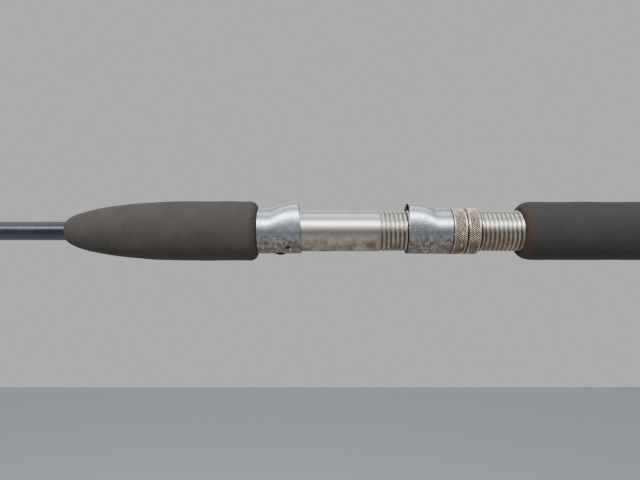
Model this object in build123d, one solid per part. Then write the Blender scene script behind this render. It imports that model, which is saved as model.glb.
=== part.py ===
"""Two-piece spinning rod with foam grips and a tubular screw-lock reel seat.

Every size is in millimetres. The rod lies along X with its butt end face at x = 0 and
its tip towards -X. +Z is the reel side: the reel foot sits on top of the seat and the
guides stand up from the blank. A station is a distance from the butt end face, so
station s is at x = -s.
"""

import os
from math import ceil, cos, floor, hypot, radians, sin, sqrt

from build123d import *

# ---------------------------------------------------------------- driving sizes
# Blank: a tapered glass-fibre tube in two sections.
blank_length = 1829.0
blank_butt_diameter = 11.6
blank_tip_diameter = 2.2
blank_wall = 1.5
solid_tip_length = 420.0
tip_core_radius = 0.3

# Rear grip and the rubber cap over its end.
rear_grip_front = 240.0
rear_grip_diameter = 28.4
rear_grip_nose_length = 6.8
butt_cap_length = 30.0
butt_cap_wall = 1.6
butt_cap_floor = 5.0
butt_cap_edge = 3.0

# Reel seat: a tube with a rolled wave thread over its rear half.
seat_diameter = 19.8
seat_wall = 1.3
seat_length = 126.0
seat_end_in_grip = 4.0
thread_pitch = 25.4 / 12
thread_depth = 0.55
thread_relief = 0.04
thread_length = 71.8
turn_tolerance = 1e-9

# Hoods: pressed sheet sleeves, each with a raised pocket for one end of the reel foot.
sheet_thickness = 0.9
fixed_hood_length = 21.1
fixed_pocket_rise = 3.3
fixed_pocket_flat = 1.0
fixed_pocket_ramp = 14.0
moving_hood_length = 20.7
moving_pocket_rise = 2.4
moving_pocket_flat = 3.0
moving_pocket_ramp = 10.5
pocket_width_ratio = 0.95
pocket_crown = 1.6
pocket_corner = 1.8
pocket_root_sink = 0.2
mouth_gap = 50.4

# Pins that hold the fixed hood and the seat tube to the front bush.
keel_pin_radius = 1.5
keel_pin_head_radius = 2.7
keel_pin_head_height = 0.7
keel_pin_setback = 10.9
side_pin_radius = 1.1
side_pin_setback = 6.2
side_pin_angle = 42.0
side_pin_recess = 0.25
pin_bite = 3.0

# Knurled lock rings.
ring_height = 1.4
ring_width = 6.7
ring_front_bevel = 0.5
ring_rear_bevel = 0.95

# Bushes that centre the seat tube on the blank.
bush_length = 22.0
bush_end_inset = 1.0

# Foregrip: straight for its rear part, then an ogive nose.
foregrip_length = 92.1
foregrip_diameter = 29.0
foregrip_nose_length = 60.0
foregrip_nose_radius = 255.0
foregrip_nose_edge = 2.8
foregrip_rear_edge = 3.0

# Ferrule: a metal socket on the butt section and a plug on the tip section.
ferrule_mouth = 940.0
ferrule_bore = 6.64
ferrule_wall = 0.55
ferrule_socket_depth = 42.0
ferrule_grip_length = 26.0
ferrule_bead_length = 3.0
ferrule_bead_rise = 0.6
plug_wall = 0.5
plug_end_thickness = 1.0
tip_tenon_diameter = 6.0
ferrule_wrap_length = 18.0
ferrule_wrap_overlap = 6.0

# Guides, from the butt to the tip: station and outside diameter of the ring frame.
guide_stations = (805.0, 1089.0, 1299.0, 1469.0, 1609.0, 1729.0)
guide_diameters = (30.0, 22.0, 18.0, 14.0, 12.0, 10.0)
guide_height_ratio = 0.72
guide_height_extra = 1.5
guide_reach_ratio = 0.75
band_base, band_share = 0.4, 0.012
insert_base, insert_share = 0.6, 0.03
ring_width_base, ring_width_share = 0.9, 0.045
wire_base, wire_share = 0.35, 0.022
foot_length_base, foot_length_share = 9.0, 0.3
foot_width_base, foot_width_share = 1.6, 0.06
foot_root_base, foot_root_share = 0.6, 0.026
foot_end_thickness = 0.3
insert_lip_share = 0.45
band_width_share = 0.75
leg_spread_share = 0.6
tip_leg_spread_share = 0.7
side_leg_angle = 55.0
knuckle_swell = 1.12
tip_ring_diameter = 9.0
tip_ring_height = 6.6
tip_ring_overhang = 6.0
tip_tube_length = 14.0
tip_tube_wall = 0.5
tip_tube_past_blank = 2.0
tip_leg_past_blank = 1.0
tip_brace_setback = 3.0
tip_wrap_length = 8.0

# Thread wraps.
wrap_thickness = 0.3
wrap_past_foot = 3.0
wrap_start_base, wrap_start_share = 1.5, 0.05
ferrule_wrap_step = 2.0

# Clearances.
glue_line = 0.05
fixed_hood_clearance = 0.15
moving_hood_clearance = 0.3
thread_clearance = 0.2
face_gap = 0.1
ferrule_clearance = 0.03
shoulder_gap = 0.3
foot_clearance = 0.03

# How far each cutting shape runs past what it cuts.
cut_overrun = 5.0

# ---------------------------------------------------------------- derived places
seat_radius = seat_diameter / 2
ring_radius = seat_radius + ring_height
seat_bore_radius = seat_radius - seat_wall
seat_front = rear_grip_front + seat_length
seat_rear = rear_grip_front - seat_end_in_grip
thread_start = seat_rear + thread_length
thread_core_radius = seat_radius - thread_relief - thread_depth / 2
fixed_mouth = seat_front - fixed_hood_length
moving_mouth = fixed_mouth - mouth_gap
moving_hood_rear = moving_mouth - moving_hood_length
front_ring_front = moving_hood_rear - face_gap
rear_ring_front = front_ring_front - ring_width - face_gap
fixed_hood_radius = seat_radius + fixed_hood_clearance + sheet_thickness
moving_hood_radius = seat_radius + moving_hood_clearance + sheet_thickness
rear_grip_radius = rear_grip_diameter / 2
foregrip_nose = seat_front + foregrip_length
ferrule_bore_radius = ferrule_bore / 2
ferrule_radius = ferrule_bore_radius + ferrule_wall
ferrule_rear = ferrule_mouth - ferrule_socket_depth - ferrule_grip_length
butt_blank_end = ferrule_rear + ferrule_grip_length
tip_shoulder = ferrule_mouth + shoulder_gap
tip_sleeve_front = tip_shoulder + ferrule_grip_length
plug_radius = ferrule_bore_radius - ferrule_clearance
tip_tenon_radius = tip_tenon_diameter / 2


def blank_radius(station):
    """Outside radius of the blank, which tapers evenly from butt to tip."""
    share = station / blank_length
    return (blank_butt_diameter * (1 - share) + blank_tip_diameter * share) / 2


# ---------------------------------------------------------------- shape helpers
def turned(outline):
    """A solid of revolution about the rod's axis, from (station, radius) corners."""
    corners = [(-station, radius) for station, radius in outline]
    face = Plane.XZ * make_face(Polyline(*corners, close=True))
    return revolve(face, Axis.X)


def cone(start, end, start_radius, end_radius):
    """A solid cone or cylinder between two stations."""
    return turned([(start, 0), (start, start_radius), (end, end_radius), (end, 0)])


def blank_envelope(start, end, clearance=0.0):
    """The space that the blank takes between two stations, grown by a clearance."""
    return cone(start, end, blank_radius(start) + clearance, blank_radius(end) + clearance)


def radial_pin(radius, station, angle, inner, outer):
    """A pin that points outwards; its angle is measured from straight down."""
    pin = Cylinder(radius, outer - inner, align=(Align.CENTER, Align.CENTER, Align.MIN))
    return Pos(-station, 0, 0) * Rot(180 - angle, 0, 0) * Pos(0, 0, inner) * pin


def helix_body(radius, start, end):
    """A threaded core: a circle swept along a helix whose radius is half the thread's depth.

    The circle stays square to the rod, so its outline waves in and out once per pitch. One
    turn is swept, then repeated end to end, and the row of turns is trimmed to length.
    """
    path = Helix(
        pitch=thread_pitch,
        height=thread_pitch,
        radius=thread_depth / 2,
        center=(-start, 0, 0),
        direction=(-1, 0, 0),
    )
    at_start = path @ 0
    disc = Plane(origin=at_start, x_dir=(0, 1, 0), z_dir=(-1, 0, 0)) * Circle(radius)
    turn = sweep(disc, path=path, normal=(-1, 0, 0))
    count = ceil((end - start) / thread_pitch - turn_tolerance)
    turns = [Pos(-thread_pitch * number, 0, 0) * turn for number in range(count)]
    room = radius + thread_depth
    return turns[0].fuse(*turns[1:]) & cone(start, end, room, room)


# ---------------------------------------------------------------- blank
def blank_butt():
    """Butt section: a tapered tube whose front end is turned down for the ferrule."""
    start = butt_cap_floor + glue_line
    tenon = ferrule_bore_radius - glue_line
    outside = blank_envelope(start, ferrule_rear) + cone(ferrule_rear, butt_blank_end, tenon, tenon)
    bore_rear = blank_radius(start) - blank_wall
    bore_front = tenon - blank_wall
    return outside - cone(start, butt_blank_end, bore_rear, bore_front)


def blank_tip():
    """Tip section: a tapered tube that runs out to solid glass near the tip."""
    tenon = tip_tenon_radius - glue_line
    outside = cone(tip_shoulder, tip_sleeve_front, tenon, tenon)
    outside += blank_envelope(tip_sleeve_front, blank_length)
    bore_end = blank_length - solid_tip_length
    return outside - cone(tip_shoulder, bore_end, tenon - blank_wall, tip_core_radius)


# ---------------------------------------------------------------- grips and butt cap
def grip_with_bore(outline_face, start, end):
    """A turned foam grip, bored to the blank's taper."""
    body = revolve(Plane.XZ * outline_face, Axis.X)
    return body - blank_envelope(start - 1, end + 1, glue_line)


def foregrip():
    """Ogive foam grip: a flat rear face, a straight part and a long tapered nose."""
    radius = foregrip_diameter / 2
    rear, nose = seat_front + face_gap, foregrip_nose
    straight_end = nose - foregrip_nose_length
    drop = foregrip_nose_radius - sqrt(foregrip_nose_radius**2 - foregrip_nose_length**2)
    nose_top = radius - drop
    outline = (
        Line((-rear, 0), (-rear, radius))
        + Line((-rear, radius), (-straight_end, radius))
        + RadiusArc((-straight_end, radius), (-nose, nose_top), -foregrip_nose_radius)
        + Line((-nose, nose_top), (-nose, 0))
        + Line((-nose, 0), (-rear, 0))
    )
    face = make_face(outline)
    for x, y, edge in ((-rear, radius, foregrip_rear_edge), (-nose, nose_top, foregrip_nose_edge)):
        corner = [v for v in face.vertices() if hypot(v.X - x, v.Y - y) < 1e-3]
        face = fillet(corner, edge)
    return grip_with_bore(face, rear, nose)


def rear_grip():
    """Straight foam grip with a rounded front edge, counterbored for the seat tube's end."""
    start = butt_cap_floor + glue_line
    front, radius = rear_grip_front, rear_grip_radius
    edge_start = front - rear_grip_nose_length
    rise = radius - seat_radius - glue_line
    edge_radius = (rear_grip_nose_length**2 + rise**2) / (2 * rise)
    outline = (
        Line((-start, 0), (-start, radius))
        + Line((-start, radius), (-edge_start, radius))
        + RadiusArc((-edge_start, radius), (-front, radius - rise), -edge_radius)
        + Line((-front, radius - rise), (-front, 0))
        + Line((-front, 0), (-start, 0))
    )
    grip = grip_with_bore(make_face(outline), start, front)
    pocket = seat_radius + glue_line
    return grip - cone(seat_rear - glue_line, front + 1, pocket, pocket)


def butt_cap():
    """Rubber cup over the rear grip's end, with a rounded rim on its floor and its mouth."""
    inner = rear_grip_radius + glue_line
    outer = inner + butt_cap_wall
    cup = cone(0, butt_cap_length, outer, outer)
    cup = fillet(cup.edges().filter_by(GeomType.CIRCLE).sort_by(Axis.X)[-1], butt_cap_edge)
    cup = fillet(cup.edges().filter_by(GeomType.CIRCLE).sort_by(Axis.X)[0], butt_cap_wall / 2)
    return cup - cone(butt_cap_floor, butt_cap_length + 1, inner, inner)


# ---------------------------------------------------------------- reel seat
def seat_tube():
    """Seat tube: plain at the front, then a rolled wave thread to its rear end.

    The thread's crests stand a hair below the plain part.
    """
    plain = cone(thread_start, seat_front, seat_radius, seat_radius)
    tube = plain + helix_body(thread_core_radius, seat_rear, thread_start)
    tube -= cone(seat_rear - 1, seat_front + 1, seat_bore_radius, seat_bore_radius)
    return tube - hood_pin_holes()


def hood_solid(mouth, towards, length, radius, top, flat, ramp, over):
    """The solid outline of a hood: a barrel with a crowned pocket that ramps down to it.

    The mouth is at its own station, and the hood runs to higher stations when towards is
    +1. over is how far the solid reaches past both ends.
    """

    def x_at(place):
        return -(mouth + towards * place)

    first, last = mouth - towards * over, mouth + towards * (length + over)
    barrel = cone(min(first, last), max(first, last), radius, radius)
    end = flat + ramp
    foot = radius - pocket_root_sink
    side = (
        Line((x_at(-over), 0), (x_at(-over), top))
        + Line((x_at(-over), top), (x_at(flat), top))
        + TangentArc((x_at(flat), top), (x_at(end), foot), tangent=(-towards, 0))
        + Line((x_at(end), foot), (x_at(end), 0))
        + Line((x_at(end), 0), (x_at(-over), 0))
    )
    side_view = extrude(Plane.XZ * make_face(side), radius + cut_overrun, both=True)
    half, shoulder = radius * pocket_width_ratio, top - pocket_crown
    front = (
        Line((-half, 0), (-half, shoulder))
        + ThreePointArc((-half, shoulder), (0, top), (half, shoulder))
        + Line((half, shoulder), (half, 0))
        + Line((half, 0), (-half, 0))
    )
    section = make_face(front)
    corners = [v for v in section.vertices() if v.Y > shoulder - 1e-3]
    section = fillet(corners, pocket_corner)
    front_view = extrude(Plane.YZ * section, length + end + cut_overrun, both=True)
    return barrel + (Pos(x_at(0), 0, 0) * front_view & side_view)


def hood_shell(mouth, towards, length, radius, rise, flat, ramp):
    """A pressed sheet hood: its outline less the same outline one sheet smaller."""
    top = radius + rise
    outside = hood_solid(mouth, towards, length, radius, top, flat, ramp, 0.0)
    inner_radius, inner_top = radius - sheet_thickness, top - sheet_thickness
    inner_ramp = ramp - sheet_thickness
    inside = hood_solid(mouth, towards, length, inner_radius, inner_top, flat, inner_ramp, 1.0)
    return outside - inside


def pin_places():
    """Station, angle from straight down, radius and outer end of each fixed hood pin."""
    keel = (seat_front - keel_pin_setback, 0.0, keel_pin_radius, fixed_hood_radius)
    sides = [
        (
            fixed_mouth + side_pin_setback,
            side * side_pin_angle,
            side_pin_radius,
            fixed_hood_radius - side_pin_recess,
        )
        for side in (-1, 1)
    ]
    return [keel, *sides]


def hood_pins():
    """Three pins through the hood and the tube into the front bush; the keel one is domed."""
    inner = seat_bore_radius - pin_bite
    pins = [radial_pin(r, s, a, inner, outer) for s, a, r, outer in pin_places()]
    station, angle, _, outer = pin_places()[0]
    dome_radius = (keel_pin_head_radius**2 + keel_pin_head_height**2) / (2 * keel_pin_head_height)
    dome = Pos(0, 0, keel_pin_head_height - dome_radius) * Sphere(dome_radius)
    head = dome & Cylinder(
        keel_pin_head_radius,
        keel_pin_head_height,
        align=(Align.CENTER, Align.CENTER, Align.MIN),
    )
    head = Pos(-station, 0, 0) * Rot(180 - angle, 0, 0) * Pos(0, 0, outer) * head
    return Compound([pins[0] + head, *pins[1:]])


def hood_pin_holes():
    """Holes for the fixed hood's pins, through the hood, the tube and into the bush."""
    inner = seat_bore_radius - pin_bite - glue_line
    holes = [
        radial_pin(r + glue_line, s, a, inner, fixed_hood_radius + 1)
        for s, a, r, _ in pin_places()
    ]
    return holes[0] + holes[1] + holes[2]


def fixed_hood():
    """Front hood, pinned to the seat tube, with its pocket open towards the butt."""
    shell = hood_shell(
        fixed_mouth,
        1,
        fixed_hood_length,
        fixed_hood_radius,
        fixed_pocket_rise,
        fixed_pocket_flat,
        fixed_pocket_ramp,
    )
    return shell - hood_pin_holes()


def moving_hood():
    """Rear hood, which slides on the seat tube, with its pocket open towards the tip."""
    return hood_shell(
        moving_mouth,
        -1,
        moving_hood_length,
        moving_hood_radius,
        moving_pocket_rise,
        moving_pocket_flat,
        moving_pocket_ramp,
    )


def lock_ring(front, front_bevel, rear_bevel):
    """A lock ring with an internal wave thread that matches the seat tube's, plus clearance."""
    rear = front - ring_width
    body = turned(
        [
            (front, 0),
            (front, ring_radius - front_bevel),
            (front - front_bevel, ring_radius),
            (rear + rear_bevel, ring_radius),
            (rear, ring_radius - rear_bevel),
            (rear, 0),
        ]
    )
    turns_back = floor((rear - seat_rear) / thread_pitch) - 1
    start = seat_rear + turns_back * thread_pitch
    core_radius = thread_core_radius + thread_clearance
    return body - helix_body(core_radius, start, front + thread_pitch)


def seat_bush(start):
    """A turned bush between the blank and the seat tube."""
    end = start + bush_length
    outer = seat_bore_radius - glue_line
    bush = cone(start, end, outer, outer) - blank_envelope(start - 1, end + 1, glue_line)
    return bush - hood_pin_holes()


# ---------------------------------------------------------------- ferrule
def ferrule_socket():
    """Metal tube glued on the butt section, open at its mouth, with a bead round the rim."""
    bead = ferrule_radius + ferrule_bead_rise
    bead_start = ferrule_mouth - ferrule_bead_length
    body = turned(
        [
            (ferrule_rear, 0),
            (ferrule_rear, ferrule_radius),
            (bead_start, ferrule_radius),
            (bead_start + ferrule_bead_rise, bead),
            (ferrule_mouth - ferrule_bead_rise, bead),
            (ferrule_mouth, ferrule_radius),
            (ferrule_mouth, 0),
        ]
    )
    bore = ferrule_bore_radius
    return body - cone(ferrule_rear - 1, ferrule_mouth + 1, bore, bore)


def ferrule_plug():
    """Metal plug that slides into the socket, with a sleeve that holds the tip section."""
    plug_start = butt_blank_end + shoulder_gap
    bead = ferrule_radius + ferrule_bead_rise
    body = turned(
        [
            (plug_start, 0),
            (plug_start, plug_radius),
            (tip_shoulder, plug_radius),
            (tip_shoulder, ferrule_radius),
            (tip_shoulder + ferrule_bead_rise, bead),
            (tip_shoulder + ferrule_bead_length - ferrule_bead_rise, bead),
            (tip_shoulder + ferrule_bead_length, ferrule_radius),
            (tip_sleeve_front, ferrule_radius),
            (tip_sleeve_front, 0),
        ]
    )
    hollow = plug_radius - plug_wall
    body -= cone(plug_start + plug_end_thickness, tip_shoulder, hollow, hollow)
    sleeve = tip_tenon_radius
    return body - cone(tip_shoulder, tip_sleeve_front + 1, sleeve, sleeve)


def ferrule_wrap(ferrule_end, out):
    """Thread wrap over one end of a ferrule part; out is +1 towards the tip, -1 to the butt."""
    blank_end = ferrule_end + out * (ferrule_wrap_length - ferrule_wrap_overlap)
    metal_end = ferrule_end - out * ferrule_wrap_overlap
    on_blank, at_step = blank_radius(blank_end), blank_radius(ferrule_end)
    outline = [
        (metal_end, ferrule_radius),
        (metal_end, ferrule_radius + wrap_thickness),
        (ferrule_end, ferrule_radius + wrap_thickness),
        (ferrule_end + out * ferrule_wrap_step, at_step + wrap_thickness),
        (blank_end, on_blank + wrap_thickness),
        (blank_end, on_blank),
        (ferrule_end, at_step),
        (ferrule_end, ferrule_radius),
    ]
    return turned(outline)


# ---------------------------------------------------------------- guides
def ring_sizes(diameter):
    """Radial and axial sizes of a guide ring of one outside diameter."""
    band = band_base + band_share * diameter
    insert = insert_base + insert_share * diameter
    width = ring_width_base + ring_width_share * diameter
    wire = wire_base + wire_share * diameter
    return band, insert, width, wire


def guide_ring(station, height, diameter):
    """The hard ring that the line runs through: a torus with rounded lips."""
    band, insert, width, _ = ring_sizes(diameter)
    outer = diameter / 2 - band - glue_line
    section = Pos(outer - insert / 2, 0) * RectangleRounded(insert, width, insert * insert_lip_share)
    ring = revolve(Plane.XY * section, Axis.Y)
    return Pos(-station, 0, height) * Rot(0, 0, 90) * ring


def guide_band(station, height, diameter):
    """The metal band round the ring."""
    band, _, width, _ = ring_sizes(diameter)
    outer = diameter / 2
    tube = Cylinder(outer, width * band_width_share) - Cylinder(outer - band, width)
    return Pos(-station, 0, height) * Rot(0, 90, 0) * tube


def leg(start, end, radius):
    """A round wire leg from inside the band to a slightly swollen knuckle in its foot."""
    a, b = Vector(*start), Vector(*end)
    along = b - a
    wire = Cylinder(radius, along.length, align=(Align.CENTER, Align.CENTER, Align.MIN))
    placed = Plane(origin=a, z_dir=along.normalized()) * wire
    return placed + Pos(*end) * Sphere(radius * knuckle_swell)


def foot_sizes(diameter):
    """Length, width, root thickness and end thickness of a guide foot."""
    length = foot_length_base + foot_length_share * diameter
    width = foot_width_base + foot_width_share * diameter
    root = foot_root_base + foot_root_share * diameter
    return length, width, root, foot_end_thickness


def guide_foot(landing, out, diameter):
    """A ground-down foot on the blank; out is +1 when it runs towards the tip."""
    length, width, root, end_thickness = foot_sizes(diameter)
    far = landing + out * length
    near_top, far_top = blank_radius(landing) + root, blank_radius(far) + end_thickness
    side = Polyline((-landing, 0), (-landing, near_top), (-far, far_top), (-far, 0), close=True)
    return extrude(Plane.XZ * make_face(side), width / 2, both=True)


def guide_places(number):
    """Station, height of the ring's centre, diameter and reach of one guide."""
    station, diameter = guide_stations[number], guide_diameters[number]
    height = blank_radius(station) + guide_height_ratio * diameter + guide_height_extra
    return station, height, diameter, guide_reach_ratio * diameter


def legs(station, height, diameter, front_end, rear_end):
    """One leg from the band's lowest point to the front, two from its sides to the rear."""
    band, _, _, wire = ring_sizes(diameter)
    middle = (diameter - band) / 2
    spread = radians(side_leg_angle)
    wires = leg((-station, 0, height - middle), front_end, wire)
    for side in (-1, 1):
        top = (-station, side * middle * sin(spread), height - middle * cos(spread))
        x, y, z = rear_end
        wires += leg(top, (x, side * y, z), wire)
    return wires


def guide_frame(number):
    """Wire guide frame: a band, one leg to the front foot and two legs to the rear foot."""
    station, height, diameter, reach = guide_places(number)
    band, _, _, wire = ring_sizes(diameter)
    _, _, root, _ = foot_sizes(diameter)
    front, rear = station + reach, station - reach
    frame = guide_band(station, height, diameter) + legs(
        station,
        height,
        diameter,
        (-front, 0, blank_radius(front) + root - wire),
        (-rear, wire * leg_spread_share, blank_radius(rear) + root - wire),
    )
    frame += guide_foot(front, 1, diameter)
    frame += guide_foot(rear, -1, diameter)
    clear = diameter / 2 - band
    frame -= Pos(-station, 0, height) * Rot(0, 90, 0) * Cylinder(clear, diameter)
    far = reach + foot_sizes(diameter)[0] + cut_overrun
    return frame - blank_envelope(station - far, station + far, foot_clearance)


def guide_wrap(number, out):
    """Thread wrap that binds one guide foot; out is +1 for the front foot."""
    station, _, diameter, reach = guide_places(number)
    length, width, root, end_thickness = foot_sizes(diameter)
    landing = station + out * reach
    start = landing + out * (wrap_start_base + wrap_start_share * diameter)
    far = landing + out * (length + wrap_past_foot)
    blank_start, blank_far = blank_radius(start), blank_radius(far)
    near_radius = blank_start + root / 2 + wrap_thickness
    far_radius = blank_far + wrap_thickness

    def disc(place, radius, lift):
        return Plane(origin=(-place, 0, lift), x_dir=(0, 1, 0), z_dir=(-1, 0, 0)) * Circle(radius)

    sleeve = loft([disc(start, near_radius, root / 2), disc(far, far_radius, 0)])
    first, last = min(start, far) - cut_overrun, max(start, far) + cut_overrun
    sleeve -= blank_envelope(first, last)
    foot = guide_foot(landing, out, diameter)
    return sleeve - foot


def tip_frame():
    """Tip guide: a tube over the blank's end, a band beyond it and braces between them."""
    station, height = blank_length + tip_ring_overhang, tip_ring_height
    band = ring_sizes(tip_ring_diameter)[0]
    bore = blank_tip_diameter / 2 + glue_line
    outer = bore + tip_tube_wall
    tube_end = blank_length + tip_tube_past_blank
    tube_start = tube_end - tip_tube_length
    frame = guide_band(station, height, tip_ring_diameter)
    frame += cone(tube_start, tube_end, outer, outer)
    frame += legs(
        station,
        height,
        tip_ring_diameter,
        (-(blank_length + tip_leg_past_blank), 0, bore),
        (-(tube_start + tip_brace_setback), bore * tip_leg_spread_share, bore),
    )
    clear = tip_ring_diameter / 2 - band
    frame -= Pos(-station, 0, height) * Rot(0, 90, 0) * Cylinder(clear, tip_ring_diameter)
    socket_radius = blank_radius(tube_start) + glue_line
    return frame - cone(tube_start - 1, blank_length + glue_line, socket_radius, socket_radius)


def tip_ring():
    """The tip guide's hard ring."""
    return guide_ring(blank_length + tip_ring_overhang, tip_ring_height, tip_ring_diameter)


def tip_wrap():
    """Short thread wrap behind the tip guide's tube."""
    end = blank_length + tip_tube_past_blank - tip_tube_length - glue_line
    start = end - tip_wrap_length
    return turned(
        [
            (start, blank_radius(start)),
            (start, blank_radius(start) + wrap_thickness),
            (end, blank_radius(end) + wrap_thickness),
            (end, blank_radius(end)),
        ]
    )


# ---------------------------------------------------------------- assembly
def sub_parts():
    """Every sub-part by name."""
    middle_bush = (seat_front + seat_rear - bush_length) / 2
    parts = {
        "blank_butt_section": blank_butt(),
        "blank_tip_section": blank_tip(),
        "butt_cap": butt_cap(),
        "rear_grip": rear_grip(),
        "foregrip": foregrip(),
        "seat_tube": seat_tube(),
        "fixed_hood": fixed_hood(),
        "fixed_hood_pins": hood_pins(),
        "moving_hood": moving_hood(),
        "front_lock_ring": lock_ring(front_ring_front, ring_front_bevel, ring_front_bevel),
        "rear_lock_ring": lock_ring(rear_ring_front, ring_front_bevel, ring_rear_bevel),
        "seat_bush_front": seat_bush(seat_front - bush_end_inset - bush_length),
        "seat_bush_middle": seat_bush(middle_bush),
        "seat_bush_rear": seat_bush(seat_rear + bush_end_inset),
        "ferrule_socket": ferrule_socket(),
        "ferrule_plug": ferrule_plug(),
        "ferrule_wrap_butt": ferrule_wrap(ferrule_rear, -1),
        "ferrule_wrap_tip": ferrule_wrap(tip_sleeve_front, 1),
        "tip_guide_frame": tip_frame(),
        "tip_guide_ring": tip_ring(),
        "tip_guide_wrap": tip_wrap(),
    }
    for number in range(len(guide_stations)):
        station, height, diameter, _ = guide_places(number)
        name = f"guide_{number + 1}"
        parts[f"{name}_frame"] = guide_frame(number)
        parts[f"{name}_ring"] = guide_ring(station, height, diameter)
        parts[f"{name}_wrap_rear"] = guide_wrap(number, -1)
        parts[f"{name}_wrap_front"] = guide_wrap(number, 1)
    return parts


def main():
    os.makedirs("parts", exist_ok=True)
    for name, shape in sub_parts().items():
        export_step(shape, f"parts/{name}.step")


main()
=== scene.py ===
from math import hypot, pi, radians

import bmesh
import bpy
import numpy as np
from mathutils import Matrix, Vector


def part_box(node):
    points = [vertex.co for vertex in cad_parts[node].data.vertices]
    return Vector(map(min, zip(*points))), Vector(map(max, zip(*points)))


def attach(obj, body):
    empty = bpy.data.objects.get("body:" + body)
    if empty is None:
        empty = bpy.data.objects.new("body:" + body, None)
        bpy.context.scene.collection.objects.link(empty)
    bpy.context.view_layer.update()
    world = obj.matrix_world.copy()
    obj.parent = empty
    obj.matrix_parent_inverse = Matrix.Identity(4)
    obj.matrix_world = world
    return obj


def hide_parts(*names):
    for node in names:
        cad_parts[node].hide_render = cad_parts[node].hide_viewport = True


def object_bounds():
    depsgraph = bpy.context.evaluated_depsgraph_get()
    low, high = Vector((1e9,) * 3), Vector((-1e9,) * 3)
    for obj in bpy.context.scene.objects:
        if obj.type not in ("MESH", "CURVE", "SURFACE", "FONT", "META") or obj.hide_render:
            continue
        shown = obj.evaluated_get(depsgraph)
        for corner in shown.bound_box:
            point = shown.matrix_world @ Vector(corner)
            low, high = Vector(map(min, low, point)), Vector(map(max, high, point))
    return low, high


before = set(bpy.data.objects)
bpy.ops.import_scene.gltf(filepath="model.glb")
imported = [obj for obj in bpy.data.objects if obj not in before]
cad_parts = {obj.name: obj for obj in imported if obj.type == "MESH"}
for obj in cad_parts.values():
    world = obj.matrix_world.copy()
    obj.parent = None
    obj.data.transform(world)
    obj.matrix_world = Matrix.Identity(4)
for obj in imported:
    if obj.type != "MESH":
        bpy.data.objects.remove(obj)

cad_bounds = [list(corner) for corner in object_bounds()]
MM = 0.001

# ------------------------------------------------------------------ camera, floor and light
# The camera looks straight at the reel seat from the side. The floor is a plain pale sheet
# well below the rod. A long soft box in front and above gives most of the light.
camera_distance = 0.2425
camera_below_axis = 0.0044
camera_ahead_of_grip = 0.096
camera_lens = 28.1
floor_below_axis = 1.4
floor_size = 9.0
floor_roughness = 0.9
sky_low_at, sky_high_at = -0.15, 0.75
sky_low, sky_high = (0.045, 0.036, 0.029, 1), (0.5, 0.55, 0.62, 1)
backdrop = (0.52, 0.525, 0.53, 1)
floor_colour = (0.66, 0.64, 0.61, 1)
soft_boxes = (
    ("key", (-1.15, 1.0), 49, (3.2, 0.45), 46, (0.95, 0.98, 1)),
    ("overhead", (0.1, 1.4), 0, (3.0, 0.5), 7, (0.93, 0.97, 1)),
    ("back", (1.6, 1.0), -58, (3.0, 0.4), 5, (1, 1, 1)),
)

grip_front_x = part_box("rear_grip")[0][0]
camera_data = bpy.data.cameras.new("camera")
camera_data.lens = camera_lens
camera_data.sensor_width = 36.0
camera_data.clip_start = 0.01
camera = bpy.data.objects.new("camera", camera_data)
camera.location = (grip_front_x - camera_ahead_of_grip, -camera_distance, -camera_below_axis)
camera.rotation_euler = (radians(90), 0, 0)
bpy.context.collection.objects.link(camera)
bpy.context.scene.camera = camera


def add(tree, kind, inputs=None, **settings):
    """Adds a node, gives it its settings, and sets or links each of its inputs."""
    made = tree.nodes.new(kind)
    for key, value in settings.items():
        setattr(made, key, value)
    for key, value in (inputs or {}).items():
        if isinstance(value, bpy.types.NodeSocket):
            tree.links.new(value, made.inputs[key])
        else:
            made.inputs[key].default_value = value
    return made


def area_light(name, location, turn, size, power, tint):
    """A rectangular soft light, which shines along its own -Z."""
    data = bpy.data.lights.new(name, "AREA")
    data.shape, data.size, data.size_y = "RECTANGLE", size[0], size[1]
    data.energy, data.color = power, tint
    light = bpy.data.objects.new(name, data)
    light.location, light.rotation_euler = location, turn
    bpy.context.collection.objects.link(light)


rod_middle_x = (cad_bounds[0][0] + cad_bounds[1][0]) / 2
for name, (away, height), tilt, size, power, tint in soft_boxes:
    area_light(name, (rod_middle_x, away, height), (radians(tilt), 0, 0), size, power, tint)

world = bpy.data.worlds.new("soft_sky")
bpy.context.scene.world = world
world.use_nodes = True
sky = world.node_tree
sky_up = add(sky, "ShaderNodeSeparateXYZ", {0: add(sky, "ShaderNodeTexCoord").outputs["Generated"]})
sky_share = add(
    sky,
    "ShaderNodeMapRange",
    {"Value": sky_up.outputs["Z"], "From Min": sky_low_at, "From Max": sky_high_at},
)
sky_colour = add(
    sky,
    "ShaderNodeMix",
    {0: sky_share.outputs["Result"], 6: sky_low, 7: sky_high},
    data_type="RGBA",
)
seen = add(
    sky,
    "ShaderNodeMix",
    {
        0: add(sky, "ShaderNodeLightPath").outputs["Is Camera Ray"],
        6: sky_colour.outputs[2],
        7: backdrop,
    },
    data_type="RGBA",
)
sky.links.new(seen.outputs[2], sky.nodes["Background"].inputs["Color"])

floor_half = floor_size / 2
floor_corners = [
    (rod_middle_x + x * floor_half, y * floor_half, -floor_below_axis)
    for x, y in ((-1, -1), (1, -1), (1, 1), (-1, 1))
]
floor_mesh = bpy.data.meshes.new("floor")
floor_mesh.from_pydata(floor_corners, [], [(0, 1, 2, 3)])
floor = bpy.data.objects.new("floor", floor_mesh)
bpy.context.collection.objects.link(floor)
floor_paint = bpy.data.materials.new("floor_paint")
floor_paint.use_nodes = True
floor_shader = floor_paint.node_tree.nodes["Principled BSDF"]
floor_shader.inputs["Base Color"].default_value = floor_colour
floor_shader.inputs["Roughness"].default_value = floor_roughness
floor_mesh.materials.append(floor_paint)

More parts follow.
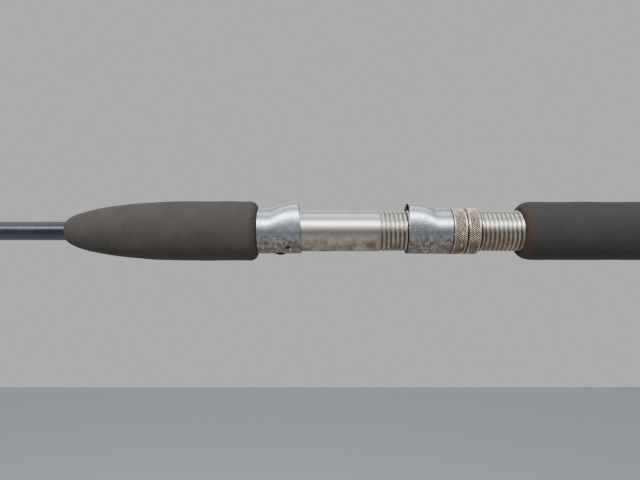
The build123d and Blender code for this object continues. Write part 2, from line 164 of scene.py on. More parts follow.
# ------------------------------------------------------------------ blank
# Two tapered tubes of glass fibre in dark resin, ground smooth and dipped in clear gloss.
# The butt section is glued through the grips and the seat, and ends in the ferrule.
blank_sides = 64
sharp_angle = 40
merge_distance = 1e-7
blank_wall = 1.5
tip_core = 0.3
solid_tip_length = 420
butt_tenon = 3.27
tip_tenon = 2.95


def surface(name, points, loop=True):
    """A mesh from a (rows, columns, 3) grid in millimetres, closed round its columns.

    With loop, the last row joins the first. Without it, both end rows are single points,
    and each is closed by merging. The faces are turned to give a positive volume.
    """
    rows, columns = points.shape[:2]
    last = rows if loop else rows - 1
    row, column = np.meshgrid(np.arange(last), np.arange(columns), indexing="ij")
    below, beside = (row + 1) % rows, (column + 1) % columns
    faces = np.stack(
        [
            row * columns + column,
            row * columns + beside,
            below * columns + beside,
            below * columns + column,
        ],
        axis=-1,
    ).reshape(-1, 4)
    flat = points.reshape(-1, 3) * MM
    a, b, c, d = (flat[faces[:, k]] for k in range(4))
    volume = np.einsum("ij,ij->", a, np.cross(b, c)) + np.einsum("ij,ij->", a, np.cross(c, d))
    if volume < 0:
        faces = faces[:, ::-1]
    mesh = bpy.data.meshes.new(name)
    mesh.from_pydata(flat.tolist(), [], faces.tolist())
    if not loop:
        close_poles(mesh)
    mesh.polygons.foreach_set("use_smooth", np.ones(len(mesh.polygons), dtype=bool))
    mesh.set_sharp_from_angle(angle=radians(sharp_angle))
    piece = bpy.data.objects.new(name, mesh)
    bpy.context.collection.objects.link(piece)
    return piece


def close_poles(mesh):
    """Merges the vertices that lie together at the two ends of an open surface."""
    work = bmesh.new()
    work.from_mesh(mesh)
    bmesh.ops.remove_doubles(work, verts=work.verts, dist=merge_distance)
    work.to_mesh(mesh)
    work.free()


def spun(stations, radii):
    """Grid of a shape round the rod: x = -station, y = r cos(t), z = r sin(t).

    radii is (rows, columns), with one column for each angle t.
    """
    angle = 2 * pi * np.arange(radii.shape[1]) / radii.shape[1]
    along = -np.broadcast_to(np.asarray(stations, dtype=float).reshape(len(radii), -1), radii.shape)
    return np.stack([along, radii * np.cos(angle), radii * np.sin(angle)], axis=-1)


def turned(name, outline, sides, loop=True):
    """A surface of revolution about the rod's axis, from an outline of (station, radius)."""
    outline = np.asarray(outline, dtype=float)
    radii = np.repeat(np.maximum(outline[:, 1:2], 0), sides, axis=1)
    return surface(name, spun(outline[:, 0], radii), loop)


def ends(node):
    """Lowest and highest station of a CAD node, and its outside radius, in millimetres."""
    low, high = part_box(node)
    return -high[0] / MM, -low[0] / MM, high[1] / MM


blotch_from, blotch_to = 0.42, 0.64
scratch_from, scratch_to = 0.66, 0.72
scratch_stretch = (1, 0.08, 0.3)


def marks_group():
    """Shared marks in Object coordinates: soft blotches, fine grain and thin scratches."""
    group = bpy.data.node_groups.new("surface_marks", "ShaderNodeTree")
    for name in ("Blotch Scale", "Grain Scale", "Scratch Scale"):
        group.interface.new_socket(name, in_out="INPUT", socket_type="NodeSocketFloat")
    for name in ("Blotch", "Grain", "Scratch"):
        group.interface.new_socket(name, in_out="OUTPUT", socket_type="NodeSocketFloat")
    inlet = add(group, "NodeGroupInput")
    where = add(group, "ShaderNodeTexCoord").outputs["Object"]
    blotch = add(
        group,
        "ShaderNodeTexNoise",
        {"Vector": where, "Scale": inlet.outputs["Blotch Scale"], "Detail": 6, "Roughness": 0.65},
    )
    blotch_mask = add(
        group,
        "ShaderNodeMapRange",
        {"Value": blotch.outputs["Fac"], "From Min": blotch_from, "From Max": blotch_to},
    )
    grain = add(
        group,
        "ShaderNodeTexNoise",
        {"Vector": where, "Scale": inlet.outputs["Grain Scale"], "Detail": 4, "Roughness": 0.6},
    )
    stretched = add(group, "ShaderNodeMapping", {"Vector": where, "Scale": scratch_stretch})
    scratch = add(
        group,
        "ShaderNodeTexNoise",
        {"Vector": stretched.outputs["Vector"], "Scale": inlet.outputs["Scratch Scale"], "Detail": 2},
    )
    scratch_mask = add(
        group,
        "ShaderNodeMapRange",
        {"Value": scratch.outputs["Fac"], "From Min": scratch_from, "From Max": scratch_to},
    )
    outlet = add(group, "NodeGroupOutput")
    group.links.new(blotch_mask.outputs["Result"], outlet.inputs["Blotch"])
    group.links.new(grain.outputs["Fac"], outlet.inputs["Grain"])
    group.links.new(scratch_mask.outputs["Result"], outlet.inputs["Scratch"])
    return group


surface_marks = marks_group()
# Heights where the darkening below the axis begins and is full: partly rust stain, partly painted shade and
# painted reflection of the dark ground.
low_start, low_end = 0.0012, -0.0062
low_blotch_share, low_even_share = 0.3, 0.85
grain_wear = 0.5
scratch_depth = 0.6
rib_grain_share = 0.3
coat_roughness = 0.22


def calc(tree, operation, a, b=0.0, clamp=False):
    """The result of one Math node."""
    return add(tree, "ShaderNodeMath", {0: a, 1: b}, operation=operation, use_clamp=clamp).outputs[0]


def finish(
    name,
    base,
    stain_and_shade,
    roughness,
    metallic=0.0,
    scales=(150, 1800, 500),
    stained=0.4,
    low_stain_and_shade=0.0,
    relief=0.00002,
    groove=None,
    groove_darkening=0.8,
    ribs=None,
    coat=0.0,
    scratch_lift=0.0,
):
    """A worn finish.

    Colour goes from base towards the second colour by blotches, by how far below the axis a point is
    (low_stain_and_shade), and by how near its radius is to the bottom of a groove (groove is the
    bottom and top radius). The darkening below the axis is partly rust stain and partly painted
    shade and painted reflection of the dark ground. Roughness goes from its first value to its
    second with the blotches and the grain. ribs is the spacing of wound thread along the rod.
    """
    made = bpy.data.materials.new(name)
    made.use_nodes = True
    tree = made.node_tree
    shader = tree.nodes["Principled BSDF"]
    marks = add(tree, "ShaderNodeGroup", node_tree=surface_marks)
    for socket, value in zip(("Blotch Scale", "Grain Scale", "Scratch Scale"), scales):
        marks.inputs[socket].default_value = value
    place = add(tree, "ShaderNodeSeparateXYZ", {0: add(tree, "ShaderNodeTexCoord").outputs["Object"]})
    amount = calc(tree, "MULTIPLY", marks.outputs["Blotch"], stained)
    # Below the axis the colour darkens: partly rust stain, partly painted shade and painted reflection of
    # the dark ground.
    if low_stain_and_shade:
        low = add(
            tree,
            "ShaderNodeMapRange",
            {"Value": place.outputs["Z"], "From Min": low_start, "From Max": low_end, "To Max": low_stain_and_shade},
        )
        patchy = calc(tree, "MULTIPLY", marks.outputs["Blotch"], low_blotch_share)
        uneven = calc(tree, "ADD", patchy, low_even_share)
        amount = calc(tree, "ADD", amount, calc(tree, "MULTIPLY", low.outputs["Result"], uneven), True)
    # Colour darkens towards the bottom of a groove.
    if groove:
        squares = [calc(tree, "POWER", calc(tree, "ABSOLUTE", place.outputs[k]), 2.0) for k in "YZ"]
        radius = calc(tree, "SQRT", calc(tree, "ADD", squares[0], squares[1]))
        depth = add(
            tree,
            "ShaderNodeMapRange",
            {"Value": radius, "From Min": groove[1], "From Max": groove[0], "To Max": groove_darkening},
        )
        amount = calc(tree, "ADD", amount, depth.outputs["Result"], True)
    tinted = add(tree, "ShaderNodeMix", {0: amount, 6: (*base, 1), 7: (*stain_and_shade, 1)}, data_type="RGBA")
    light = tuple(min(1.0, c * (1 + scratch_lift)) for c in base)
    shade = calc(tree, "MULTIPLY", marks.outputs["Scratch"], 1.0 if scratch_lift else 0.0)
    scratched = add(
        tree, "ShaderNodeMix", {0: shade, 6: tinted.outputs[2], 7: (*light, 1)}, data_type="RGBA"
    )
    tree.links.new(scratched.outputs[2], shader.inputs["Base Color"])
    wear = calc(tree, "ADD", calc(tree, "MULTIPLY", marks.outputs["Grain"], grain_wear), amount, True)
    rough = add(
        tree, "ShaderNodeMapRange", {"Value": wear, "To Min": roughness[0], "To Max": roughness[1]}
    )
    tree.links.new(rough.outputs["Result"], shader.inputs["Roughness"])
    shader.inputs["Metallic"].default_value = metallic
    shader.inputs["Coat Weight"].default_value = coat
    shader.inputs["Coat Roughness"].default_value = coat_roughness
    cut = calc(tree, "MULTIPLY", marks.outputs["Scratch"], -scratch_depth)
    height = calc(tree, "ADD", marks.outputs["Grain"], cut)
    if ribs:
        turn = calc(tree, "MULTIPLY", place.outputs["X"], 2 * pi / ribs)
        height = calc(tree, "ADD", calc(tree, "SINE", turn), calc(tree, "MULTIPLY", height, rib_grain_share))
    bump = add(tree, "ShaderNodeBump", {"Height": height, "Distance": relief, "Strength": 1.0})
    tree.links.new(bump.outputs["Normal"], shader.inputs["Normal"])
    return made


def fit_out(piece, made, body, slot, *nodes):
    """Gives a new piece its material and body, and hides the CAD nodes it stands for. Its slot is not used.
    """
    piece.data.materials.append(made)
    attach(piece, body)
    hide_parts(*nodes)


blank_finish = finish(
    "blank_finish",
    (0.012, 0.015, 0.028),
    (0.05, 0.045, 0.045),
    (0.3, 0.5),
    scales=(90, 900, 1300),
    stained=0.3,
    relief=0.000004,
    coat=0.45,
    scratch_lift=2.0,
)
butt_start, ferrule_seat, butt_radius = ends("blank_butt_section")
tip_start, tip_end, tip_radius = ends("blank_tip_section")
ferrule_rear = ends("ferrule_socket")[0]
sleeve_front = ends("ferrule_plug")[1]
taper = (butt_radius - tip_radius) / (sleeve_front - butt_start)


def blank_radius(station):
    """Outside radius of the blank: a straight taper through both sections."""
    return butt_radius - taper * (station - butt_start)


butt_outline = [
    (butt_start, blank_radius(butt_start) - blank_wall),
    (butt_start, blank_radius(butt_start)),
    (ferrule_rear, blank_radius(ferrule_rear)),
    (ferrule_rear, butt_tenon),
    (ferrule_seat, butt_tenon),
    (ferrule_seat, butt_tenon - blank_wall),
]
blank_butt = turned("blank_butt", butt_outline, blank_sides)
fit_out(blank_butt, blank_finish, "root", "blank", "blank_butt_section")
tip_outline = [
    (tip_start, tip_tenon - blank_wall),
    (tip_start, tip_tenon),
    (sleeve_front, tip_tenon),
    (sleeve_front, blank_radius(sleeve_front)),
    (tip_end, blank_radius(tip_end)),
    (tip_end, tip_core),
    (tip_end - solid_tip_length, tip_core),
]
blank_tip = turned("blank_tip", tip_outline, blank_sides)
fit_out(blank_tip, blank_finish, "tip_section", "blank", "blank_tip_section")

# ------------------------------------------------------------------ foregrip
# A sleeve of dense closed-cell foam, turned on a lathe to a bullet nose and glued to the
# blank. Handling has left it dented and dusty, with open pores all over. With q the share of
# the nose's length from its end, its radius grows with (1 - (1 - q)^2)^0.57.
foregrip_nose_length = 60.0
foregrip_corner = 3.4
corner_gap = 0.6
nose_fullness = 0.57
foam_sides = 160
straight_rows, nose_rows = 20, 70
foam_waves = 14
foam_wave_scale = 3.7
foam_inset = 0.08
nose_root_gap = 0.1
glue_gap = 0.05


def foam_skin(stations, radii, seed, depth=0.07):
    """Low dents in a turned grip: a few broad waves round and along it, added to its radius.

    Each wave is sin(n t + p) sin(2 pi s / l + q), for an angle t and a station s.
    """
    draw = np.random.default_rng(seed)
    angle = 2 * pi * np.arange(foam_sides) / foam_sides
    dents = np.zeros((len(stations), foam_sides))
    for _ in range(foam_waves):
        lobes, length = draw.integers(1, 7), draw.uniform(9, 40)
        phase = draw.uniform(0, 2 * pi, 2)
        dents += np.sin(lobes * angle[None, :] + phase[0]) * np.sin(
            2 * pi * np.asarray(stations)[:, None] / length + phase[1]
        )
    return radii[:, None] + depth * dents / foam_wave_scale


def grip(name, outer, bore, seed):
    """A foam grip: a dented outer skin from rear to front, and a smooth bore back again."""
    stations = np.concatenate([outer[:, 0], bore[:, 0]])
    skin = foam_skin(outer[:, 0], outer[:, 1], seed)
    inside = np.repeat(bore[:, 1:2], foam_sides, axis=1)
    return surface(name, spun(stations, np.concatenate([skin, inside])))


fore_rear, fore_nose, fore_radius = ends("foregrip")
fore_radius -= foam_inset
corner_turn = np.linspace(0, pi / 2, 9)
rear_edge = np.stack(
    [
        fore_rear + foregrip_corner * (1 - np.cos(corner_turn)),
        fore_radius - foregrip_corner * (1 - np.sin(corner_turn)),
    ],
    axis=1,
)
straight_end = fore_nose - foregrip_nose_length
straight_start = fore_rear + foregrip_corner + corner_gap
fore_straight = np.linspace(straight_start, straight_end, straight_rows)
from_nose = np.linspace(1, 0, nose_rows)[1:] ** 2
nose_root = blank_radius(fore_nose) + nose_root_gap
nose_radii = nose_root + (fore_radius - nose_root) * (1 - (1 - from_nose) ** 2) ** nose_fullness
fore_outer = np.concatenate(
    [
        rear_edge,
        np.stack([fore_straight, np.full(straight_rows, fore_radius)], axis=1),
        np.stack([fore_nose - foregrip_nose_length * from_nose, nose_radii], axis=1),
    ]
)
fore_bore = np.array([(s, blank_radius(s) + glue_gap) for s in (fore_nose, fore_rear)])
foregrip = grip("foregrip_foam", fore_outer, fore_bore, seed=11)
fore_foam = finish(
    "fore_foam",
    (0.052, 0.045, 0.039),
    (0.088, 0.071, 0.057),
    (0.8, 0.97),
    scales=(95, 900, 1500),
    stained=0.6,
    relief=0.00022,
    scratch_lift=1.1,
)
fit_out(foregrip, fore_foam, "root", "fore_foam", "foregrip")

# ------------------------------------------------------------------ rear grip
# A long straight sleeve of the same foam. Rust water from the seat has soaked into its front
# edge, a flattened quarter round: with t from 0 to 1 along the edge, its radius falls with
# 1 - sqrt(1 - 0.98 t^2.4).
rear_start, rear_front, rear_radius = ends("rear_grip")
seat_radius = ends("seat_tube")[2]
rear_radius -= foam_inset
edge_length = 6.8
edge_power, edge_share, edge_gap = 2.4, 0.98, 0.35
rear_rows, edge_rows = 60, 24
edge_turn = np.linspace(0, 1, edge_rows)
edge_fall = 1 - np.sqrt(1 - edge_share * edge_turn**edge_power)
rear_straight = np.linspace(rear_start, rear_front - edge_length, rear_rows)
rear_outer = np.concatenate(
    [
        np.stack([rear_straight, np.full(rear_rows, rear_radius)], axis=1),
        np.stack(
            [
                rear_front - edge_length * (1 - edge_turn),
                rear_radius - (rear_radius - seat_radius - edge_gap) * edge_fall,
            ],
            axis=1,
        )[1:],
    ]
)
counterbore = ends("seat_tube")[0] - glue_gap
rear_bore = np.array(
    [
        (rear_front, seat_radius + glue_gap),
        (counterbore, seat_radius + glue_gap),
        (counterbore, blank_radius(counterbore) + glue_gap),
        (rear_start, blank_radius(rear_start) + glue_gap),
    ]
)
rear_grip = grip("rear_grip_foam", rear_outer, rear_bore, seed=23)
rear_foam = finish(
    "rear_foam",
    (0.032, 0.031, 0.029),
    (0.052, 0.048, 0.042),
    (0.8, 0.97),
    scales=(95, 900, 1500),
    stained=0.55,
    relief=0.00022,
    scratch_lift=1.0,
)
rust_start, rust_full = 0.0058, 0.0008
rust_strength = 0.75
rust_tint = (0.06, 0.029, 0.018, 1)
rust_tree = rear_foam.node_tree
rust_shader = rust_tree.nodes["Principled BSDF"]
rust_colour = rust_shader.inputs["Base Color"].links[0].from_socket
rust_place = add(rust_tree, "ShaderNodeTexCoord").outputs["Object"]
rust_x = add(rust_tree, "ShaderNodeSeparateXYZ", {0: rust_place})
rust_reach = add(
    rust_tree,
    "ShaderNodeMapRange",
    {
        "Value": rust_x.outputs["X"],
        "From Min": grip_front_x + rust_start,
        "From Max": grip_front_x + rust_full,
        "To Max": rust_strength,
    },
)
rusty = add(
    rust_tree,
    "ShaderNodeMix",
    {0: rust_reach.outputs["Result"], 6: rust_colour, 7: rust_tint},
    data_type="RGBA",
)
rust_tree.links.new(rusty.outputs[2], rust_shader.inputs["Base Color"])
fit_out(rear_grip, rear_foam, "root", "rear_foam", "rear_grip")

# ------------------------------------------------------------------ butt cap
# A moulded black rubber cup, pushed and glued over the end of the rear grip. Rings moulded
# round its wall give a hold, and its floor takes the knocks when the rod is stood up.
cap_start, cap_mouth, cap_radius = ends("butt_cap")
cap_wall_thickness = 1.6
cap_floor = 5.0
cap_edge, cap_lip, cap_lip_inside = 3.0, 0.8, 0.4
ring_start, ring_end, ring_pitch, ring_depth = 7, 24, 3.4, 0.35
ring_rows = 120
cap_sides = 96
corner_points = 7


def eased(corners):
    """Outline with rounded corners, from (station, radius, rounding) triples.

    Each corner becomes a quadratic curve from one tangent point to the other.
    """
    points = []
    share = np.linspace(0, 1, corner_points)[:, None]
    for number, (station, radius, rounding) in enumerate(corners):
        corner = np.array([station, radius])
        if rounding == 0:
            points.append(corner[None, :])
            continue
        before = np.array(corners[number - 1][:2]) - corner
        after = np.array(corners[(number + 1) % len(corners)][:2]) - corner
        first = corner + rounding * before / hypot(*before)
        last = corner + rounding * after / hypot(*after)
        points.append((1 - share) ** 2 * first + 2 * share * (1 - share) * corner + share**2 * last)
    return np.concatenate(points)


cap_inside = cap_radius - cap_wall_thickness
cap_rings = np.linspace(ring_start, ring_end, ring_rows)
cap_wall = cap_radius - ring_depth * np.clip(np.sin(2 * pi * cap_rings / ring_pitch), 0, 1) ** 2
base_corners = [(cap_start, 0, 0), (cap_start, cap_radius, cap_edge), (cap_mouth, cap_radius, 0)]
mouth_corners = [
    (ring_end, cap_radius, 0),
    (cap_mouth, cap_radius, cap_lip),
    (cap_mouth, cap_inside, cap_lip_inside),
    (cap_floor, cap_inside, 0),
]
cap_outline = np.concatenate(
    [
        [(cap_start, 0)],
        eased(base_corners)[1:-1],
        np.stack([cap_rings, cap_wall], axis=1),
        eased(mouth_corners)[1:],
        [(cap_floor, 0)],
    ]
)
butt_cap = turned("butt_cap_rubber", cap_outline, cap_sides, loop=False)
cap_rubber = finish(
    "cap_rubber",
    (0.022, 0.021, 0.02),
    (0.08, 0.072, 0.06),
    (0.55, 0.85),
    scales=(140, 2400, 400),
    stained=0.3,
    relief=0.00003,
    scratch_lift=2.0,
)
fit_out(butt_cap, cap_rubber, "root", "cap_rubber", "butt_cap")

# ------------------------------------------------------------------ reel seat tube
# Drawn aluminium tube with a rolled wave thread over its rear part. The crests are polished
# by the lock rings, and the colour darkens towards the bottom of the grooves. Below the axis it
# darkens as well, partly with rust stain and partly as painted shade and painted reflection of
# the dark ground.
thread_pitch = 25.4 / 12
thread_wave = 0.275
thread_relief = 0.04
seat_wall = 1.3
thread_run = 71.8
rows_per_turn = 12
run_out_turns = 0.4
run_out_gap = 0.2
front_edge, front_edge_inside = 0.4, 0.3
groove_bottom, groove_top = 0.6, 0.36
seat_sides = 120


def thread_radius(stations, core, strength=1.0):
    """Radius of a circle of radius core whose centre goes round once per pitch.

    With u the angle between a point and the crest, r = a cos u + sqrt(core^2 - a^2 sin^2 u).
    The crest's angle grows with x, which makes the thread right-handed.
    """
    angle = 2 * pi * np.arange(seat_sides) / seat_sides
    u = angle[None, :] + 2 * pi * np.asarray(stations)[:, None] / thread_pitch
    offset = thread_wave * np.asarray(strength).reshape(-1, 1) * np.ones_like(u)
    return offset * np.cos(u) + np.sqrt(core**2 - (offset * np.sin(u)) ** 2)


seat_rear, seat_front, _ = ends("seat_tube")
thread_end = seat_rear + thread_run
thread_rows = np.arange(seat_rear, thread_end, thread_pitch / rows_per_turn)
fade = np.clip((thread_end - thread_rows) / (run_out_turns * thread_pitch), 0, 1)
thread_core = seat_radius - thread_relief - thread_wave
wave = thread_radius(thread_rows, thread_core, fade) + thread_wave * (1 - fade[:, None])
seat_inside = seat_radius - seat_wall
plain_corners = [
    (thread_end + run_out_gap, seat_radius, 0),
    (seat_front, seat_radius, front_edge),
    (seat_front, seat_inside, front_edge_inside),
    (seat_rear, seat_inside, 0),
]
plain_rows = eased(plain_corners)
seat_stations = np.concatenate([thread_rows, plain_rows[:, 0]])
seat_radii = np.concatenate([wave, np.repeat(plain_rows[:, 1:2], seat_sides, axis=1)])
seat_tube = surface("seat_tube_metal", spun(seat_stations, seat_radii))
seat_metal = finish(
    "seat_metal",
    (0.78, 0.735, 0.66),
    (0.2, 0.135, 0.09),
    (0.24, 0.46),
    metallic=1.0,
    scales=(130, 1400, 1500),
    stained=0.16,
    low_stain_and_shade=0.75,
    relief=0.00001,
    groove=((seat_radius - groove_bottom) * MM, (seat_radius - groove_top) * MM),
    groove_darkening=0.85,
    scratch_lift=0.2,
)
fit_out(seat_tube, seat_metal, "root", "seat_metal", "seat_tube")

# ------------------------------------------------------------------ hoods
# Each hood is a sleeve pressed from plated steel sheet, with a squarish pocket raised in it
# for one end of the reel's foot. The front one is pinned, and the rear one slides. Below the
# axis their colour darkens, partly with rust stain and partly as painted shade and painted
# reflection of the dark ground.
sheet_thickness = 0.9
hood_sides = 144
hood_rows, lip_rows = 90, 9
squareness = 0.5
ramp_power = 2.2
soft_step, soft_half = 0.025, 50
flare_length = 2.5
set_back_length = 6


def pocket_height(place, flat, ramp):
    """Share of a pocket's full height: 1 as far as flat, then 1 - t^2.2 down to the sleeve.

    Two running means over 2.5 mm soften the crease where it meets the sleeve.
    """
    first, last = -5, 40
    fine = np.linspace(first, last, round((last - first) / soft_step) + 1)
    t = np.clip((fine - flat) / ramp, 0, 1)
    soft = 1 - t**ramp_power
    width = 2 * soft_half + 1
    for _ in range(2):
        soft = np.convolve(np.pad(soft, soft_half, mode="edge"), np.ones(width) / width, mode="valid")
    return np.interp(place, fine, soft)


def hood_radius(place, sleeve, rise, flat, ramp):
    """Radius of a hood at each place from its mouth, for each angle round it.

    The lower half is a circle. The upper half is |y/a|^n + |z/b|^n = 1, where b grows by
    the pocket's height, and n goes from 2 to 2.5 with it, which squares the pocket off.
    """
    angle = 2 * pi * np.arange(hood_sides) / hood_sides
    across, up = np.abs(np.cos(angle))[None, :], np.sin(angle)[None, :]
    height = pocket_height(place, flat, ramp)[:, None]
    power, top = 2 + squareness * height, sleeve + rise * height
    arch = ((across / sleeve) ** power + (np.clip(up, 1e-9, None) / top) ** power) ** (-1 / power)
    return np.where(up > 0, arch, sleeve)


def hood(name, mouth, towards, length, sleeve, rise, flat, ramp, set_back, flare, dimples=()):
    """A sheet hood: its outside from mouth to end, a round lip, and its inside back again.

    The lips are half circles across the sheet. The mouth's edge is set back with sin(t)^2
    towards the top. Near the far edge the radius grows with the square of the way along.
    Each dimple is given as (station, angle, radius, depth), and its depth falls with
    exp(-(d / radius)^4) at a distance d from its middle.
    """
    half = sheet_thickness / 2
    run = np.linspace(half, length - half, hood_rows)
    lip = np.linspace(-pi / 2, pi / 2, lip_rows)[1:-1]
    far_lip, near_lip = length - half + half * np.cos(lip), half - half * np.cos(lip)
    place = np.concatenate([run, far_lip, run[::-1], near_lip])
    outside, inside = np.zeros(hood_rows), np.full(hood_rows, 2 * half)
    inward = np.concatenate([outside, half + half * np.sin(lip), inside, half - half * np.sin(lip)])
    radii = hood_radius(place, sleeve, rise, flat, ramp) - inward[:, None]
    radii += flare * np.clip((place - length + flare_length) / flare_length, 0, 1)[:, None] ** 2
    angle = 2 * pi * np.arange(hood_sides) / hood_sides
    up = np.clip(np.sin(angle), 0, 1)[None, :]
    fade = np.clip(1 - place / set_back_length, 0, 1)[:, None]
    stations = mouth + towards * (place[:, None] + set_back * up**2 * fade)
    for station, turn, reach, depth in dimples:
        gap = np.abs((angle - turn + pi) % (2 * pi) - pi)[None, :] * sleeve
        radii = radii - depth * np.exp(-(((stations - station) ** 2 + gap**2) / reach**2) ** 2)
    return surface(name, spun(stations, radii))


def dress(node, made):
    """Puts a material on a CAD node that keeps its own shape."""
    for material_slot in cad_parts[node].material_slots:
        material_slot.material = made


hood_metal = finish(
    "hood_metal",
    (0.66, 0.71, 0.77),
    (0.21, 0.15, 0.125),
    (0.2, 0.48),
    metallic=1.0,
    scales=(480, 1300, 1300),
    stained=0.3,
    low_stain_and_shade=0.85,
    relief=0.00006,
    scratch_lift=0.3,
)
fixed_mouth, _, fixed_sleeve = ends("fixed_hood")
fixed_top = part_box("fixed_hood")[1][2] / MM
fixed_length = seat_front - fixed_mouth
pin_setback, pin_angle, pin_reach, pin_depth = 6.2, radians(42), 1.9, 0.45
pin_station = fixed_mouth + pin_setback
fixed_hood = hood(
    "fixed_hood_sheet",
    mouth=fixed_mouth,
    towards=1,
    length=fixed_length,
    sleeve=fixed_sleeve,
    rise=fixed_top - fixed_sleeve,
    flat=1.0,
    ramp=14.0,
    set_back=1.8,
    flare=0.0,
    dimples=[(pin_station, -pi / 2 + side * pin_angle, pin_reach, pin_depth) for side in (-1, 1)],
)
fit_out(fixed_hood, hood_metal, "root", "hood_metal", "fixed_hood")
moving_rear, moving_mouth, moving_sleeve = ends("moving_hood")
moving_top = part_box("moving_hood")[1][2] / MM
moving_length = moving_mouth - moving_rear
dent_setback, dent_angle, dent_reach, dent_depth = 17.8, radians(200), 0.8, 0.25
moving_hood = hood(
    "moving_hood_sheet",
    mouth=moving_mouth,
    towards=-1,
    length=moving_length,
    sleeve=moving_sleeve,
    rise=moving_top - moving_sleeve,
    flat=3.0,
    ramp=10.5,
    set_back=0.6,
    flare=0.2,
    dimples=[(moving_mouth - dent_setback, dent_angle, dent_reach, dent_depth)],
)
fit_out(moving_hood, hood_metal, "moving_hood", "hood_metal", "moving_hood")
pin_rust = finish(
    "pin_rust",
    (0.055, 0.032, 0.024),
    (0.02, 0.012, 0.01),
    (0.55, 0.9),
    metallic=0.2,
    scales=(500, 2500, 900),
    stained=0.9,
    relief=0.00003,
)
dress("fixed_hood_pins", pin_rust)

# ------------------------------------------------------------------ lock rings
# Two turned rings with a rolled diamond knurl, threaded to run on the seat tube. The front
# one pushes the hood, and the rear one jams against it. Their colour darkens towards the bottom
# of the knurl's grooves, and below the axis, where it is partly rust stain and partly painted
# shade and painted reflection of the dark ground.
ring_sides = 560
knurl_count = 70
knurl_step = 1.25
knurl_depth = 0.42
knurl_sharpness = 1.9
knurl_margin, knurl_fade = 0.35, 0.3
plain_margin = 0.2
band_rows, bore_rows = 48, 44
ring_clearance = 0.2
slim_bevel, wide_bevel = 0.5, 0.95
# How deep into the knurl its colour darkens, and how near the crest the darkening starts.
dark_share, dark_gap = 0.8, 0.03


def knurl(stations, strength):
    """Depth of a diamond knurl: two sets of V grooves that cross, one each way round.

    Each set is a zigzag v = |2 frac(n t +- s / step) - 1| of the angle t, in turns, and the
    station s. The share of the full depth is 1 - min(1, 1.9 v), for the smaller v.
    """
    angle = np.arange(ring_sides) / ring_sides
    turns = knurl_count * angle[None, :]
    shift = np.asarray(stations)[:, None] / knurl_step
    first = np.abs(2 * ((turns + shift) % 1) - 1)
    second = np.abs(2 * ((turns - shift) % 1) - 1)
    ridge = np.minimum(1, knurl_sharpness * np.minimum(first, second))
    return knurl_depth * np.asarray(strength)[:, None] * (1 - ridge)


def lock_ring(name, node, front_bevel, rear_bevel):
    """A knurled ring: two bevels, a band with the knurl cut into its radius, and a bore.

    The bore is the seat's thread made larger by a clearance, r = a cos u + sqrt(core^2 -
    a^2 sin^2 u), and its waves stand at the same stations as the tube's.
    """
    rear, front, radius = ends(node)
    band_start = rear + rear_bevel + knurl_margin
    band_end = front - front_bevel - knurl_margin
    band = np.linspace(band_start, band_end, band_rows)
    strength = np.clip(np.minimum(band - band_start, band_end - band) / knurl_fade, 0, 1)
    core = thread_core + ring_clearance
    rear_edge = [
        (rear, radius - rear_bevel),
        (rear + rear_bevel, radius),
        (rear + rear_bevel + plain_margin, radius),
    ]
    front_edge = [
        (front - front_bevel - plain_margin, radius),
        (front - front_bevel, radius),
        (front, radius - front_bevel),
    ]
    outline = np.array(rear_edge + [(place, radius) for place in band] + front_edge)
    skin = np.repeat(outline[:, 1:2], ring_sides, axis=1)
    skin[len(rear_edge):-len(front_edge)] -= knurl(band, strength)
    bore = np.linspace(front, rear, bore_rows)
    angle = 2 * pi * np.arange(ring_sides) / ring_sides
    u = angle[None, :] + 2 * pi * bore[:, None] / thread_pitch
    inside = thread_wave * np.cos(u) + np.sqrt(core**2 - (thread_wave * np.sin(u)) ** 2)
    stations = np.concatenate([outline[:, 0], bore])
    return surface(name, spun(stations, np.concatenate([skin, inside])))


ring_radius = ends("front_lock_ring")[2]
ring_metal = finish(
    "ring_metal",
    (0.88, 0.76, 0.62),
    (0.13, 0.07, 0.038),
    (0.25, 0.6),
    metallic=1.0,
    scales=(260, 1500, 1300),
    stained=0.18,
    low_stain_and_shade=0.4,
    relief=0.00001,
    groove=((ring_radius - dark_share * knurl_depth) * MM, (ring_radius - dark_gap) * MM),
    groove_darkening=0.95,
    scratch_lift=0.3,
)
front_ring = lock_ring("front_lock_ring_metal", "front_lock_ring", slim_bevel, slim_bevel)
fit_out(front_ring, ring_metal, "front_lock_ring", "ring_metal", "front_lock_ring")
rear_ring = lock_ring("rear_lock_ring_metal", "rear_lock_ring", slim_bevel, wide_bevel)
fit_out(rear_ring, ring_metal, "rear_lock_ring", "ring_metal", "rear_lock_ring")
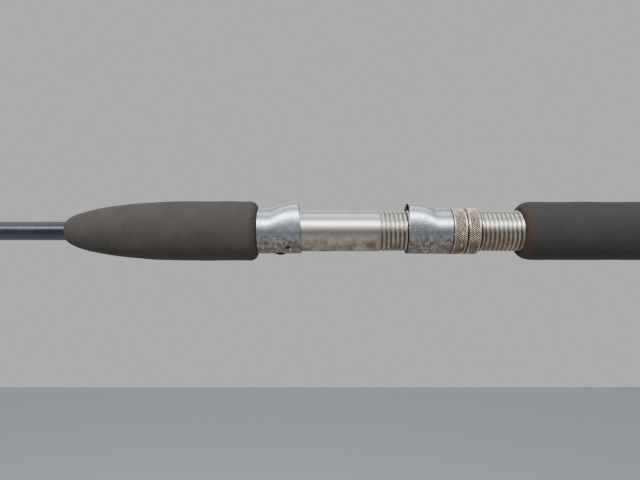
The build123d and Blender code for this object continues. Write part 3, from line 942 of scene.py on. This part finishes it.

# ------------------------------------------------------------------ seat bushes
# Rings of pressed fibre, glued on the blank, that carry the seat tube. They are out of
# sight once the rod is built.
bush_fibre = finish(
    "bush_fibre",
    (0.42, 0.3, 0.18),
    (0.25, 0.16, 0.09),
    (0.7, 0.92),
    scales=(300, 2200, 500),
    stained=0.6,
    relief=0.00005,
)
for place in ("front", "middle", "rear"):
    dress(f"seat_bush_{place}", bush_fibre)

# ------------------------------------------------------------------ ferrule
# A drawn metal socket on the butt section and a plug on the tip section, which slide
# together. The socket has a bead round its mouth and the plug has one at its shoulder, and
# use has dulled the plating.
ferrule_metal = finish(
    "ferrule_metal",
    (0.68, 0.62, 0.5),
    (0.3, 0.2, 0.1),
    (0.2, 0.5),
    metallic=1.0,
    scales=(220, 1600, 800),
    stained=0.35,
    relief=0.000008,
    scratch_lift=0.25,
)
dress("ferrule_socket", ferrule_metal)
dress("ferrule_plug", ferrule_metal)

# ------------------------------------------------------------------ thread wraps
# Fine nylon thread, wound tight over each guide foot and ferrule end, then soaked in clear
# varnish that leaves the turns showing as ribs under the gloss.
thread_spacing = 0.00024
wrap_thread = finish(
    "wrap_thread",
    (0.014, 0.017, 0.04),
    (0.045, 0.03, 0.03),
    (0.16, 0.4),
    scales=(300, 1500, 500),
    stained=0.3,
    relief=0.00003,
    ribs=thread_spacing,
    coat=1.0,
)
guide_numbers = range(1, 7)
wraps = ["ferrule_wrap_butt", "ferrule_wrap_tip", "tip_guide_wrap"]
wraps += [f"guide_{number}_wrap_{end}" for number in guide_numbers for end in ("rear", "front")]
for node in wraps:
    dress(node, wrap_thread)

# ------------------------------------------------------------------ guides
# Bent wire frames brazed to a band and plated bright, each with a polished hard ring pressed
# into its band. Their feet are ground to a taper and bound to the blank with thread.
guide_metal = finish(
    "guide_metal",
    (0.72, 0.73, 0.75),
    (0.3, 0.22, 0.15),
    (0.12, 0.4),
    metallic=1.0,
    scales=(240, 1500, 700),
    stained=0.3,
    relief=0.000006,
    scratch_lift=0.2,
)
guide_ceramic = finish(
    "guide_ceramic",
    (0.035, 0.036, 0.042),
    (0.09, 0.085, 0.08),
    (0.1, 0.3),
    scales=(260, 1800, 500),
    stained=0.3,
    relief=0.000004,
    coat=0.6,
)
for name in [f"guide_{number}" for number in guide_numbers] + ["tip_guide"]:
    dress(f"{name}_frame", guide_metal)
    dress(f"{name}_ring", guide_ceramic)
